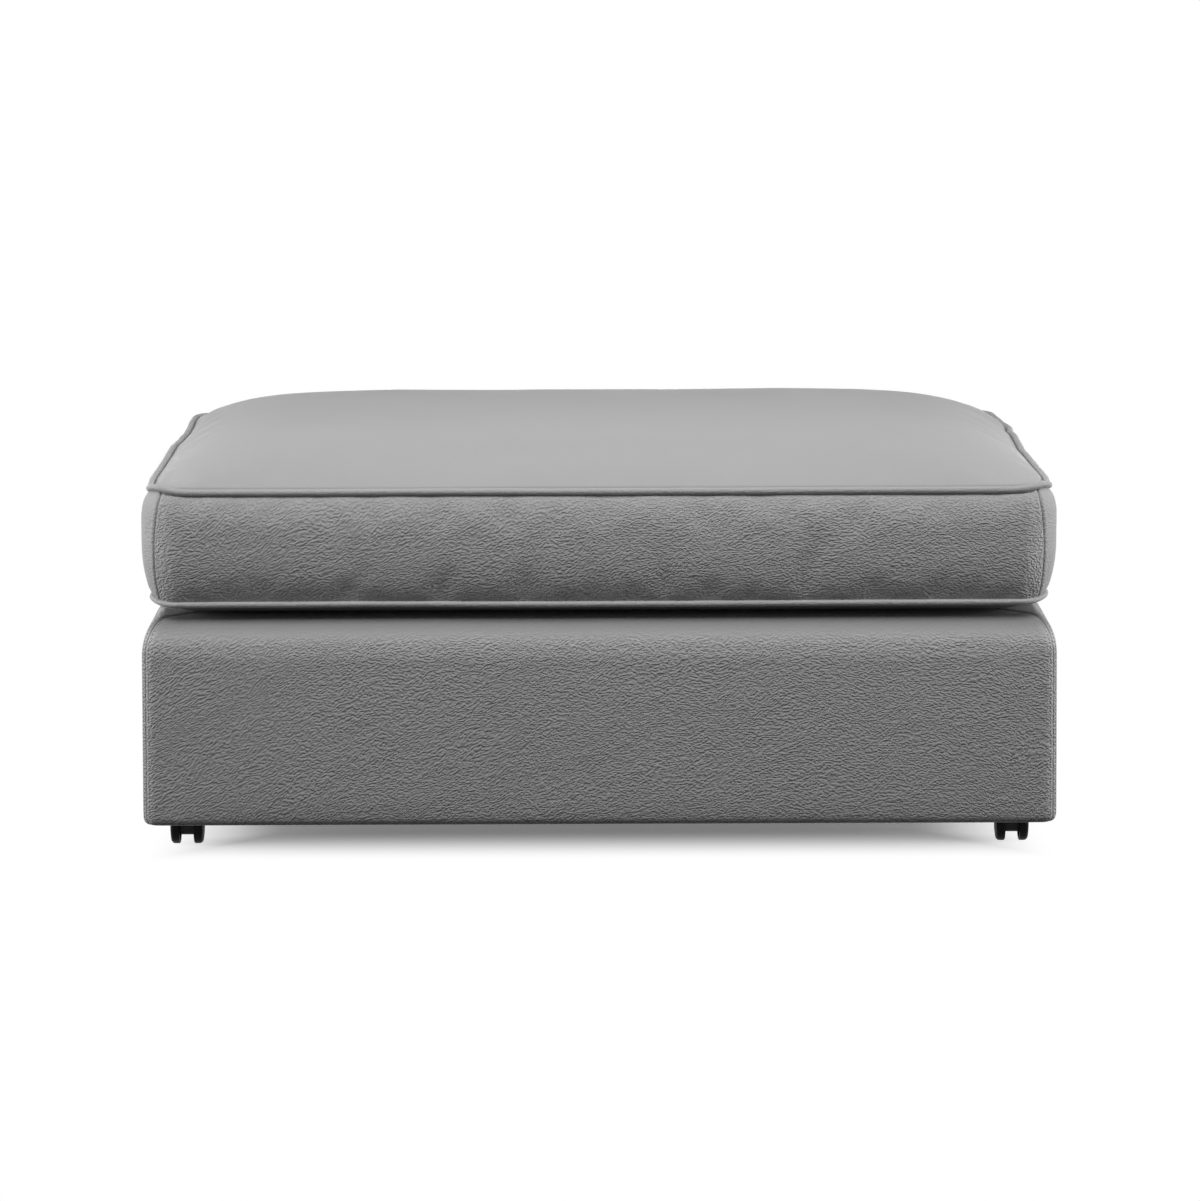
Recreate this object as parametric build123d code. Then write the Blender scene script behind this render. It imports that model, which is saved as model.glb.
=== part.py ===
# An upholstered cocktail ottoman: a leather box cushion lies loose on a leather-covered base that rolls on
# four twin-wheel casters. Millimetres, +Z up, +X to the right, -Y to the front. The origin is on the floor,
# under the middle of the base.

import math
import os

from build123d import *

os.makedirs("parts", exist_ok=True)

# Whole object
table_width = 1016
table_depth = 711
underside_height = 48  # floor to the dust cover
deck_height = 279  # floor to the deck that the cushion lies on
soft_gap = 0.3  # left between pieces that lie against each other but move apart
overrun = 10  # how far a cutting solid runs past what it cuts

# Leather of the base
base_leather = 1.5
base_edge_radius = 35
base_corner_radius = 12
cover_border = 75  # reach of the leather over the deck, from the outside
cover_fold = 34  # reach of the leather under the frame, from the outside
dust_cloth = 0.6
dust_inset = 8
dust_notch_width = 86  # corner notches that leave the casters clear
dust_notch_depth = 146

# Foam on the frame
side_padding = 12
deck_foam = 15
insulator = 1.5

# Wooden frame
board = 18
post_side = 40
caster_rail_width = 100
caster_rail_thickness = 20
spring_rail_width = 40
spring_rail_height = 32
stretcher_height = 60

# Frame screws
frame_screw_radius = 2.1
frame_screw_length = 50
frame_screw_head_radius = 4.2
frame_screw_head_height = 3
frame_screw_inset = 45  # from the ends of the post

# Sinuous springs and their clips
spring_wire = 3.8
spring_count = 8
spring_loop_width = 50
spring_pitch = 24
clip_strap = 1.2
clip_width = 22
clip_flange = 9

# Casters
wheel_diameter = 40
wheel_width = 11.5
wheel_gap = 16  # between the two wheels of a caster
wheel_shoulder = 4.5
wheel_dome = 2
wheel_rim = 3.5
wheel_wall = 2.5
wheel_hub_radius = 6.5
wheel_bevel = 1
wheel_side_gap = 0.4  # wheel to housing
running_gap = 0.05  # radial, at every turning bore
axle_radius = 3
axle_end_gap = 0.5
kingpin_radius = 4
kingpin_length = 26
caster_trail = 16  # kingpin to axle
caster_side_inset = 38  # kingpin from the side of the base
caster_front_inset = 115  # kingpin from the front or back of the base
boss_radius = 10
collar_radius = 12
collar_height = 9
hood_gap = 1.5
hood_thickness = 2
hood_half_angle = 62
swivel_gap = 0.3
plate_side = 38
plate_thickness = 2
plate_corner = 4
plate_clearance = 1
plate_hole_inset = 6
caster_screw_radius = 1.75
caster_screw_head_radius = 3.6
caster_screw_length = 16

# Cushion
cushion_leather = 1.2
cushion_margin = 4  # base past the cushion at its front and back
cushion_bulge = 11  # boxing's swell past its seams
cushion_corner_radius = 32
bottom_seam_height = 297.5
top_seam_height = 421.5
cushion_height = 472  # floor to the top of the crown
welt_diameter = 6.5
fibre_wrap = 12
core_edge_radius = 14
core_top_drop = 47  # fibre over the core at the top of the crown

# Cushion profile: how far in from the seam, how far up or down, and the corner radius of each level
crown_inset_shares = (0, 0.05, 0.15, 0.34, 0.6, 0.84)  # of half the seam depth
crown_rise_shares = (0, 0.3, 0.6, 0.86, 0.97, 1)  # of the crown
crown_radius_shares = (0.08, 0.13, 0.2, 0.3, 0.4)  # of each level's own depth, above the seam
belly_inset_shares = (0, 0.035, 0.1, 0.2, 0.32)
belly_drop_shares = (0, 0.36, 0.72, 0.94, 1)
belly_radius_shares = (0.07, 0.09, 0.12, 0.16)

# Zip in the back of the cushion
zip_length = 800
zip_tape_height = 24
zip_slot_height = 12
zip_chain_height = 4.6
zip_chain_proud = 1.2
zip_tape_thickness = 1
zip_setback = 0.5  # tape behind the inner face of the leather
zip_end_margin = 12  # slider to the end of the chain
slider_length = 10
slider_plate = 1.2
slider_lip = 1.2
zip_gap = 0.3
pull_length = 22
pull_width = 7
pull_thickness = 1
pull_pin_radius = 0.6
pull_eye_radius = 1.2
pull_ear_thickness = 1
pull_waist_width = 3

# Places worked out from the sizes above
cover_low = underside_height + dust_cloth
wood_low = cover_low + base_leather
foam_high = deck_height - base_leather
foam_low = foam_high - deck_foam
spring_high = foam_low - insulator
wood_high = spring_high - spring_wire
board_inset = base_leather + side_padding
inner_inset = board_inset + board
inner_width = table_width - 2 * inner_inset
inner_depth = table_depth - 2 * inner_inset
rail_high = wood_low + caster_rail_thickness
cushion_bulge_width = table_width
cushion_bulge_depth = table_depth - 2 * cushion_margin
seam_width = cushion_bulge_width - 2 * cushion_bulge
seam_depth = cushion_bulge_depth - 2 * cushion_bulge
belly_low = deck_height + soft_gap
axle_height = wheel_diameter / 2
plate_low = wood_low - plate_thickness
kingpin_x = table_width / 2 - caster_side_inset
kingpin_y = table_depth / 2 - caster_front_inset
housing_half = wheel_gap / 2 - wheel_side_gap
wheel_outer = wheel_gap / 2 + wheel_width
boxing_middle = (bottom_seam_height + top_seam_height) / 2
zip_face = cushion_bulge_depth / 2 - cushion_leather - zip_setback  # outer face of the zip's tape
corners = {
    "front_left": (-kingpin_x, -kingpin_y),
    "front_right": (kingpin_x, -kingpin_y),
    "back_left": (-kingpin_x, kingpin_y),
    "back_right": (kingpin_x, kingpin_y),
}
screw_spots = [(sx, sy) for sx in (-1, 1) for sy in (-1, 1)]


def block(size_x, size_y, low, high, x=0, y=0):
    return Pos(x, y, (low + high) / 2) * Box(size_x, size_y, high - low)


def rod(radius, start, length, direction=(0, 0, 1)):
    return extrude(Plane(origin=start, z_dir=direction) * Circle(radius), amount=length)


def one(shape):
    """The only solid of a shape, or all of them as one compound."""
    found = shape.solids()
    return found[0] if len(found) == 1 else Compound(children=list(found))


def save(name, shape):
    export_step(one(shape), f"parts/{name}.step")


# Base cover, padding and frame


def arched_slab(plane, span, run, low, high, radius):
    outline = Pos(0, (low + high) / 2) * Rectangle(span, high - low)
    outline = fillet(outline.vertices().group_by(Axis.Y)[-1], radius)
    return extrude(plane * outline, amount=run / 2, both=True)


def upholstered_block(inset, low, high):
    """The base's outer form, or one inset from it, with mitred round top edges."""
    width, depth = table_width - 2 * inset, table_depth - 2 * inset
    edge = base_edge_radius - inset
    across = arched_slab(Plane.XZ, width, depth, low, high, edge)
    along = arched_slab(Plane.YZ, depth, width, low, high, edge)
    plan = Pos(0, 0, low) * extrude(RectangleRounded(width, depth, base_corner_radius - inset), high - low)
    return across & along & plan


def mitre_wedge(side, width, depth):
    """One of the four pieces that the plan's corner diagonals cut a ring into."""
    reach = depth / 4
    x, y = width / 2, depth / 2
    far_x, far_y, near_x, near_y = x + overrun, y + overrun, x - reach, y - reach
    outlines = {
        "front": [(-far_x, -far_y), (far_x, -far_y), (near_x, -near_y), (-near_x, -near_y)],
        "back": [(far_x, far_y), (-far_x, far_y), (-near_x, near_y), (near_x, near_y)],
        "left": [(-far_x, far_y), (-far_x, -far_y), (-near_x, -near_y), (-near_x, near_y)],
        "right": [(far_x, -far_y), (far_x, far_y), (near_x, near_y), (near_x, -near_y)],
    }
    return extrude(make_face(Polyline(*outlines[side], close=True)), cushion_height)


def caster_screws():
    screws = []
    for x, y in corners.values():
        for sx, sy in screw_spots:
            reach = plate_side / 2 - plate_hole_inset
            spot = Pos(x + sx * reach, y + sy * reach, plate_low)
            head = Cone(caster_screw_head_radius, caster_screw_radius, plate_thickness)
            shank = rod(caster_screw_radius, (0, 0, 0), caster_screw_length)
            screws.append(spot * (Pos(0, 0, plate_thickness / 2) * head + shank))
    return screws


def frame_screw(start, direction):
    head = frame_screw_head_radius, frame_screw_radius, frame_screw_head_height
    shape = Pos(0, 0, frame_screw_head_height / 2) * Cone(*head) + Cylinder(
        frame_screw_radius, frame_screw_length, align=(Align.CENTER, Align.CENTER, Align.MIN)
    )
    return Plane(origin=start, z_dir=direction) * shape


def frame_screws():
    """Through the boards into each corner post, two from each side, at different heights."""
    screws = []
    x_face, y_face = table_width / 2 - board_inset, table_depth / 2 - board_inset
    x_post, y_post = inner_width / 2 - post_side / 2, inner_depth / 2 - post_side / 2
    low, high = rail_high + frame_screw_inset, wood_high - frame_screw_inset
    step = 4 * frame_screw_radius
    for sx, sy in screw_spots:
        for height in (low, high):
            screws.append(frame_screw((sx * x_face, sy * y_post, height), (-sx, 0, 0)))
            screws.append(frame_screw((sx * x_post, sy * y_face, height + step), (0, -sy, 0)))
    return screws


def frame_boards():
    width, depth = table_width - 2 * board_inset, inner_depth
    x, y = (inner_width + board) / 2, (inner_depth + board) / 2
    return {
        "front_board": block(width, board, wood_low, wood_high, 0, -y),
        "back_board": block(width, board, wood_low, wood_high, 0, y),
        "left_board": block(board, depth, wood_low, wood_high, -x, 0),
        "right_board": block(board, depth, wood_low, wood_high, x, 0),
    }


def corner_posts():
    x, y = (inner_width - post_side) / 2, (inner_depth - post_side) / 2
    return {
        f"corner_post_{name}": block(
            post_side, post_side, rail_high, wood_high, math.copysign(x, cx), math.copysign(y, cy)
        )
        for name, (cx, cy) in corners.items()
    }


def inner_rails():
    caster_x = (inner_width - caster_rail_width) / 2
    spring_y = (inner_depth - spring_rail_width) / 2
    spring_length = inner_width - 2 * post_side
    spring_low = wood_high - spring_rail_height
    stretcher_high = wood_low + stretcher_height
    return {
        "caster_rail_left": block(caster_rail_width, inner_depth, wood_low, rail_high, -caster_x),
        "caster_rail_right": block(caster_rail_width, inner_depth, wood_low, rail_high, caster_x),
        "spring_rail_front": block(spring_length, spring_rail_width, spring_low, wood_high, 0, -spring_y),
        "spring_rail_back": block(spring_length, spring_rail_width, spring_low, wood_high, 0, spring_y),
        "centre_stretcher": block(board, inner_depth, wood_low, stretcher_high),
    }


def base_skins():
    """The padding and the leather, as rings that the corner mitres part into four sides."""
    skin = upholstered_block(0, cover_low, deck_height)
    foam = upholstered_block(base_leather, wood_low, foam_high)
    border, fold = 2 * cover_border, 2 * cover_fold
    skin -= foam
    skin -= block(table_width - border, table_depth - border, foam_low, deck_height + overrun)
    skin -= block(table_width - fold, table_depth - fold, cover_low - overrun, wood_low + overrun)
    notch = plate_side + 2 * plate_clearance
    for x, y in corners.values():
        skin -= block(notch, notch, cover_low - overrun, wood_low + overrun, x, y)
    foam -= block(table_width - 2 * board_inset, table_depth - 2 * board_inset, wood_low, wood_high)
    foam -= block(inner_width, inner_depth, wood_low, foam_high)
    return skin, foam


def dust_cover():
    width, depth = table_width - 2 * dust_inset, table_depth - 2 * dust_inset
    cloth = block(width, depth, underside_height, cover_low)
    for sx, sy in screw_spots:
        notch = Pos(sx * width / 2, sy * depth / 2, underside_height)
        cloth -= notch * Box(2 * dust_notch_width, 2 * dust_notch_depth, overrun)
    return cloth


# Springs and deck


def spring_path(start_y, end_y):
    """Straight runs across, joined by half turns, from one rail to the other."""
    bends = 2 * round((end_y - start_y) / (2 * spring_pitch)) + 1
    pitch = (end_y - start_y) / bends
    half = (spring_loop_width - pitch) / 2
    pieces, side = [], 1
    for number in range(bends + 1):
        y = start_y + number * pitch
        pieces.append(Line((-side * half, y), (side * half, y)))
        if number < bends:
            turn = (side * half, y), (side * (half + pitch / 2), y + pitch / 2), (side * half, y + pitch)
            pieces.append(ThreePointArc(*turn))
        side = -side
    return Wire([piece.edge() for piece in pieces])


def deck_springs():
    y = inner_depth / 2 - spring_rail_width / 2
    path = spring_path(-y, y)
    start = path @ 0
    spring = sweep(Plane(origin=start, z_dir=path % 0) * Circle(spring_wire / 2), path=path)
    height = wood_high + spring_wire / 2
    return [Pos(x, 0, height) * spring for x in spring_places()]


def spring_places():
    step = inner_width / spring_count
    return [(number + 1 / 2) * step - inner_width / 2 for number in range(spring_count)]


def spring_clip():
    """A strap over the spring's end run, flanged on the rail, at the rail's own height."""
    inner, outer = spring_wire / 2, spring_wire / 2 + clip_strap
    bridge = Pos(0, inner) * (Circle(outer) - Circle(inner))
    bridge &= Pos(0, inner + outer / 2) * Rectangle(2 * outer, outer)
    leg = Rectangle(clip_strap, inner, align=(Align.MIN, Align.MIN))
    flange = Rectangle(clip_flange, clip_strap, align=(Align.MIN, Align.MIN))
    half = Pos(inner, 0) * leg + Pos(inner, 0) * flange
    outline = bridge + half + mirror(half, about=Plane.YZ)
    return extrude(Plane.YZ * outline, amount=clip_width / 2, both=True)


def spring_clips():
    y = inner_depth / 2 - spring_rail_width / 2
    return [Pos(x, sy * y, wood_high) * spring_clip() for x in spring_places() for sy in (-1, 1)]


def deck_layers():
    clip_reach = spring_wire / 2 + clip_flange + plate_clearance
    felt_depth = inner_depth - spring_rail_width - 2 * clip_reach
    foam = block(inner_width, inner_depth, foam_low, foam_high)
    return {
        "deck_insulator": block(inner_width, felt_depth, spring_high, foam_low),
        "deck_foam": foam & upholstered_block(base_leather, wood_low, foam_high),
        "deck_cover": block(
            table_width - 2 * cover_border, table_depth - 2 * cover_border, foam_high, deck_height
        ),
    }


# Casters, each built with its kingpin on the Z axis and its axle behind it


def caster_plate():
    plate = extrude(RectangleRounded(plate_side, plate_side, plate_corner), plate_thickness)
    return Pos(0, 0, plate_low) * plate - caster_kingpin()


def caster_kingpin():
    return rod(kingpin_radius, (0, 0, wood_low - kingpin_length), kingpin_length)


def caster_housing():
    collar_high = plate_low - swivel_gap
    collar = rod(collar_radius, (0, 0, collar_high - collar_height), collar_height)
    boss_spot = Pos(caster_trail, axle_height)
    upper = Pos(0, collar_high - collar_height / 2) * Rectangle(2 * collar_radius, collar_height)
    web = make_hull((boss_spot * Circle(boss_radius) + upper).edges())
    web = extrude(Plane.YZ * web, amount=housing_half, both=True)
    web &= block(2 * housing_half, table_width, 0, collar_high)
    inner = wheel_diameter / 2 + hood_gap
    hood = boss_spot * (Circle(inner + hood_thickness) - Circle(inner))
    reach = inner + hood_thickness
    side = reach * math.sin(math.radians(hood_half_angle))
    rise = reach * math.cos(math.radians(hood_half_angle))
    hood &= boss_spot * Pos(0, rise, 0) * Rectangle(2 * side, reach, align=(Align.CENTER, Align.MIN))
    hood = extrude(Plane.YZ * hood, amount=wheel_outer, both=True)
    bore = rod(kingpin_radius + running_gap, (0, 0, wood_low - kingpin_length - running_gap), kingpin_length)
    return collar + web + hood - bore - caster_axle()


def caster_axle():
    half = wheel_outer - wheel_wall - wheel_dome - axle_end_gap
    return rod(axle_radius, (-half, caster_trail, axle_height), 2 * half, (1, 0, 0))


def caster_wheel(side):
    """Turned about X, hollow towards the housing, with a blind hub and a domed outer face."""
    radius, inner = wheel_diameter / 2, wheel_gap / 2
    face = wheel_outer - wheel_dome
    floor = face - wheel_wall
    bore = axle_radius + running_gap
    sphere = (radius**2 + wheel_dome**2) / (2 * wheel_dome)
    swell_x = wheel_outer - sphere + math.sqrt(sphere**2 - (radius / 2) ** 2)
    rim, swell = (face, radius), (swell_x, radius / 2)
    outline = Polyline(
        (wheel_outer, 0),
        (floor, 0),
        (floor, bore),
        (inner, bore),
        (inner, wheel_hub_radius),
        (floor, wheel_hub_radius),
        (floor, radius - wheel_rim),
        (inner, radius - wheel_rim),
        (inner, radius - wheel_bevel),
        (inner + wheel_bevel, radius),
        rim,
    )
    profile = make_face(outline + ThreePointArc(rim, swell, (wheel_outer, 0)))
    profile = fillet(profile.vertices().sort_by_distance((*rim, 0))[0], wheel_shoulder)
    wheel = revolve(profile, Axis.X)
    wheel = wheel if side > 0 else mirror(wheel, about=Plane.YZ)
    return Pos(0, caster_trail, axle_height) * wheel


# Cushion


def level(width, depth, radius, height):
    return Pos(0, 0, height) * RectangleRounded(width, depth, radius)


def domed_zone(skin, seam, rise, inset_shares, rise_shares, radius_shares):
    """From the seam up or down to the crown, inset by the skin's thickness."""
    width, depth = seam_width - 2 * skin, seam_depth - 2 * skin
    levels = [level(width, depth, cushion_corner_radius - skin, seam)]
    for inset_share, rise_share, radius_share in zip(inset_shares[1:], rise_shares[1:], radius_shares):
        inset = inset_share * depth
        height = seam + rise_share * rise
        levels.append(level(width - inset, depth - inset, radius_share * (depth - inset), height))
    return loft(levels)


def crown_zone(skin=0):
    rise = cushion_height - skin - top_seam_height
    return domed_zone(skin, top_seam_height, rise, crown_inset_shares, crown_rise_shares, crown_radius_shares)


def belly_zone(skin=0):
    drop = belly_low + skin - bottom_seam_height
    return domed_zone(skin, bottom_seam_height, drop, belly_inset_shares, belly_drop_shares, belly_radius_shares)


def boxing_zone(skin=0):
    radius = cushion_corner_radius - skin
    swell = 2 * cushion_bulge
    width, depth = seam_width - 2 * skin, seam_depth - 2 * skin
    return loft(
        [
            level(width, depth, radius, bottom_seam_height),
            level(width + swell, depth + swell, radius + cushion_bulge, boxing_middle),
            level(width, depth, radius, top_seam_height),
        ]
    )


def welt(height, radius=welt_diameter / 2):
    path = Wire(level(seam_width, seam_depth, cushion_corner_radius, height).edges())
    start = Plane(origin=path @ 0, z_dir=path % 0)
    return sweep(start * Circle(radius), path=path)


def zip_band(height, inner, outer):
    """A flat strip along the back of the cushion, from one depth to another."""
    return Pos(0, (inner + outer) / 2, boxing_middle) * Box(zip_length, outer - inner, height)


def zip_tape():
    tape = zip_band(zip_tape_height, zip_face - zip_tape_thickness, zip_face)
    return tape + zip_band(zip_chain_height, zip_face, zip_face + zip_chain_proud)


def slider_start():
    return zip_length / 2 - zip_end_margin - slider_length / 2


def pull_axis():
    """Depth and height of the pin that the pull tab swings on."""
    plate_face = zip_face + zip_chain_proud + zip_gap + slider_plate
    return plate_face + pull_eye_radius, boxing_middle


def zip_slider():
    low = zip_face + zip_chain_proud + zip_gap
    height = zip_chain_height + 2 * (zip_gap + slider_lip)
    body = Pos(0, low + slider_plate / 2, 0) * Box(slider_length, slider_plate, height)
    lip_depth = low - zip_face - zip_gap
    for side in (-1, 1):
        z = side * (height - slider_lip) / 2
        body += Pos(0, low - lip_depth / 2, z) * Box(slider_length, lip_depth, slider_lip)
    body = Pos(0, 0, boxing_middle) * body
    pin_y, pin_z = pull_axis()
    ear_x = pull_waist_width / 2 + zip_gap
    for side in (-1, 1):
        start = ear_x if side > 0 else -ear_x - pull_ear_thickness
        ear = rod(pull_eye_radius, (start, pin_y, pin_z), pull_ear_thickness, (1, 0, 0))
        ear += Pos(start + pull_ear_thickness / 2, pin_y - pull_eye_radius / 2, pin_z) * Box(
            pull_ear_thickness, pull_eye_radius, 2 * pull_eye_radius
        )
        body += ear
    body += rod(pull_pin_radius, (-ear_x, pin_y, pin_z), 2 * ear_x, (1, 0, 0))
    return Pos(slider_start(), 0, 0) * body


def zip_pull():
    pin_y, pin_z = pull_axis()
    eye = rod(pull_eye_radius - zip_gap / 2, (-pull_waist_width / 2, pin_y, pin_z), pull_waist_width, (1, 0, 0))
    waist = pull_width
    neck = Box(pull_waist_width, pull_thickness, waist, align=(Align.CENTER, Align.CENTER, Align.MAX))
    blade = Box(pull_width, pull_thickness, pull_length - waist, align=(Align.CENTER, Align.CENTER, Align.MAX))
    tab = eye + Pos(0, pin_y, pin_z) * neck + Pos(0, pin_y, pin_z - waist) * blade
    tab -= rod(pull_pin_radius + running_gap, (-pull_width, pin_y, pin_z), 2 * pull_width, (1, 0, 0))
    return Pos(slider_start(), 0, 0) * tab


def cushion_parts():
    welts = {"top_welt": welt(top_seam_height), "bottom_welt": welt(bottom_seam_height)}
    cord = welts["top_welt"] + welts["bottom_welt"]
    inner_crown, inner_belly = crown_zone(cushion_leather), belly_zone(cushion_leather)
    inner_boxing = boxing_zone(cushion_leather)
    lining = cushion_leather + soft_gap
    filling = crown_zone(lining) + boxing_zone(lining) + belly_zone(lining)
    for height in (bottom_seam_height, top_seam_height):
        filling -= welt(height, welt_diameter / 2 + soft_gap)
    filling -= zip_band(zip_tape_height, zip_face - zip_tape_thickness - soft_gap, zip_face + overrun)
    core_depth = seam_depth - 2 * (cushion_leather + fibre_wrap)
    core_low, core_high = belly_low + cushion_leather + fibre_wrap, cushion_height - core_top_drop
    core = block(cushion_bulge_width + overrun, core_depth, core_low, core_high)
    core = fillet(core.edges().filter_by(Axis.X), core_edge_radius)
    parts = {
        **welts,
        "cushion_top": crown_zone() - inner_crown - cord,
        "cushion_bottom": belly_zone() - inner_belly - cord,
        "cushion_core": filling & core,
        "cushion_fibre_wrap": filling - core,
    }
    ring = boxing_zone() - inner_boxing - cord
    for side in ("front", "back", "left", "right"):
        parts[f"boxing_{side}"] = ring & mitre_wedge(side, cushion_bulge_width, cushion_bulge_depth)
    parts["boxing_back"] -= zip_band(zip_slot_height, zip_face - overrun, zip_face + overrun)
    return parts


def build_all():
    wood_screws, plate_screws = frame_screws(), caster_screws()
    wood = {**frame_boards(), **corner_posts(), **inner_rails()}
    for name, piece in wood.items():
        save(name, piece - wood_screws - plate_screws)
    save("frame_screws", Compound(children=[one(screw) for screw in wood_screws]))
    save("caster_screws", Compound(children=[one(screw) for screw in plate_screws]))

    skin, foam = base_skins()
    for side in ("front", "back", "left", "right"):
        wedge = mitre_wedge(side, table_width, table_depth)
        save(f"base_cover_{side}", skin & wedge)
        save(f"side_padding_{side}", foam & wedge)
    save("dust_cover", dust_cover())

    save("deck_springs", Compound(children=[one(spring) for spring in deck_springs()]))
    save("spring_clips", Compound(children=[one(clip) for clip in spring_clips()]))
    for name, piece in deck_layers().items():
        save(name, piece)

    places = [Pos(x, y, 0) for x, y in corners.values()]
    plates = [place * caster_plate() - plate_screws for place in places]
    save("caster_plates", Compound(children=[one(plate) for plate in plates]))
    save("caster_kingpins", Compound(children=[one(place * caster_kingpin()) for place in places]))
    for name, place in zip(corners, places):
        save(f"caster_housing_{name}", place * caster_housing())
        save(f"caster_axle_{name}", place * caster_axle())
        save(f"caster_wheel_{name}_left", place * caster_wheel(-1))
        save(f"caster_wheel_{name}_right", place * caster_wheel(1))

    for name, piece in cushion_parts().items():
        save(name, piece)
    save("zip_tape", zip_tape())
    save("zip_slider", zip_slider())
    save("zip_pull", zip_pull())


build_all()
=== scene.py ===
import math

import bpy
from mathutils import Matrix, Vector, kdtree, noise


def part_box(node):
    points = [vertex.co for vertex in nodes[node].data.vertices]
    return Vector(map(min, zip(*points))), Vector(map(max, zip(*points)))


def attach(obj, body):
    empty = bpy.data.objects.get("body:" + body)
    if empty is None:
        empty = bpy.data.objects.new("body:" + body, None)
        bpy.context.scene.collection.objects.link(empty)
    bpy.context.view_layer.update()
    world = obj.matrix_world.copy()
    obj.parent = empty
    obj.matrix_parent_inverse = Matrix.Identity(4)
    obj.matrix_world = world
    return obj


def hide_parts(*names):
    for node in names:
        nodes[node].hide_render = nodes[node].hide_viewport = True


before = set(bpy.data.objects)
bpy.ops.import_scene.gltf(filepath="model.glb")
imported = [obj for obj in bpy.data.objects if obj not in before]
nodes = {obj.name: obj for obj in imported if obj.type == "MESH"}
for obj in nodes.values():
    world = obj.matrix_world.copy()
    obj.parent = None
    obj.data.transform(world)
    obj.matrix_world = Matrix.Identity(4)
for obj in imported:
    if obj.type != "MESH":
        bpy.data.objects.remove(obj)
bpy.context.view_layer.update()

scene = bpy.context.scene


# small helpers for objects and edit mode

def clearSelection():
    if bpy.context.object and bpy.context.object.mode != "OBJECT":
        bpy.ops.object.mode_set(mode="OBJECT")
    bpy.ops.object.select_all(action="DESELECT")


def pick(obj):
    clearSelection()
    obj.select_set(True)
    bpy.context.view_layer.objects.active = obj
    return obj


def nameLast(name):  # the object that the last operator added
    obj = bpy.context.object
    obj.name = obj.data.name = name
    return obj


def settle(obj):  # the place, turn and size go into the mesh
    pick(obj)
    bpy.ops.object.transform_apply(location=True, rotation=True, scale=True)
    return obj


def applyAll(obj):
    pick(obj)
    for modifier in list(obj.modifiers):
        bpy.ops.object.modifier_apply(modifier=modifier.name)
    return obj


def choose(obj, kind, test):  # goes to edit mode with just these edges or faces selected
    pick(obj)
    mesh = obj.data
    for parts in (mesh.vertices, mesh.edges, mesh.polygons):
        parts.foreach_set("select", [False] * len(parts))
    parts = mesh.edges if kind == "edge" else mesh.polygons
    parts.foreach_set("select", [bool(test(part)) for part in parts])
    bpy.context.tool_settings.mesh_select_mode = (False, kind == "edge", kind == "face")
    bpy.ops.object.mode_set(mode="EDIT")


def chooseAll(obj):
    pick(obj)
    bpy.ops.object.mode_set(mode="EDIT")
    bpy.ops.mesh.select_all(action="SELECT")


def leaveEdit():
    bpy.ops.object.mode_set(mode="OBJECT")


def facesByEdge(mesh):  # the material numbers of the faces at each edge
    found = {}
    for face in mesh.polygons:
        for key in face.edge_keys:
            found.setdefault(key, []).append(face.material_index)
    return found


def openEdges(obj, test):  # selects the border edges whose middle passes the test
    mesh = obj.data
    faces = facesByEdge(mesh)

    def onBorder(edge):
        a, b = (mesh.vertices[i].co for i in edge.vertices)
        return len(faces.get(edge.key, ())) == 1 and test((a + b) / 2)

    choose(obj, "edge", onBorder)


def putInOrder(obj):  # edit operators number a mesh's parts differently each run, which a simulation shows
    mesh = obj.data
    order = sorted(range(len(mesh.vertices)), key=lambda i: tuple(mesh.vertices[i].co))
    places = [mesh.vertices[i].co.copy() for i in order]
    number = {old: new for new, old in enumerate(order)}
    faces = []
    for face in mesh.polygons:
        corners = [number[i] for i in face.vertices]
        first = corners.index(min(corners))
        faces.append((corners[first:] + corners[:first], face.material_index))
    faces.sort()
    mesh.clear_geometry()
    mesh.from_pydata(places, [], [corners for corners, kind in faces])
    mesh.polygons.foreach_set("material_index", [kind for corners, kind in faces])
    mesh.update()


def moveVertices(obj, rule):
    for vertex in obj.data.vertices:
        vertex.co = rule(vertex.co)
    obj.data.update()


def swell(obj, rule):  # moves each vertex along its normal by what the rule gives
    mesh = obj.data
    normals = [vertex.normal.copy() for vertex in mesh.vertices]
    for vertex, normal in zip(mesh.vertices, normals):
        vertex.co = vertex.co + normal * rule(vertex.co, normal)
    mesh.update()


def smooth(obj, angle=None):
    pick(obj)
    if angle is None:
        bpy.ops.object.shade_smooth()
    else:
        bpy.ops.object.shade_smooth_by_angle(angle=math.radians(angle))
    return obj


def subdivided(obj, levels):
    modifier = obj.modifiers.new("finer", "SUBSURF")
    modifier.levels = modifier.render_levels = levels
    modifier.boundary_smooth = "PRESERVE_CORNERS"
    return applyAll(obj)


def thickened(obj, thickness, offset=-1):
    wall = obj.modifiers.new("thickness", "SOLIDIFY")
    wall.thickness, wall.offset = thickness, offset
    return applyAll(obj)


def gridIndex(at, count):  # the number of a grid's corner, from its place between -1 and 1
    return round((at + 1) / 2 * count)


def gridPiece(name, across, along, place):  # a grid of faces, each corner put where place(i, j) says
    clearSelection()
    bpy.ops.mesh.primitive_grid_add(x_subdivisions=across, y_subdivisions=along, size=2)
    obj = nameLast(name)
    moveVertices(obj, lambda co: Vector(place(gridIndex(co.x, across), gridIndex(co.y, along))))
    return obj


def copied(source, name):
    obj = source.copy()
    obj.data = source.data.copy()
    obj.name = obj.data.name = name
    scene.collection.objects.link(obj)
    return obj


def facing(point, direction, lean=0.0):  # stands a shape at the point, its x axis along the direction
    turn = Matrix.Rotation(lean, 4, "Z") @ direction.to_track_quat("X", "Z").to_matrix().to_4x4()
    return Matrix.Translation(point) @ turn


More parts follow.
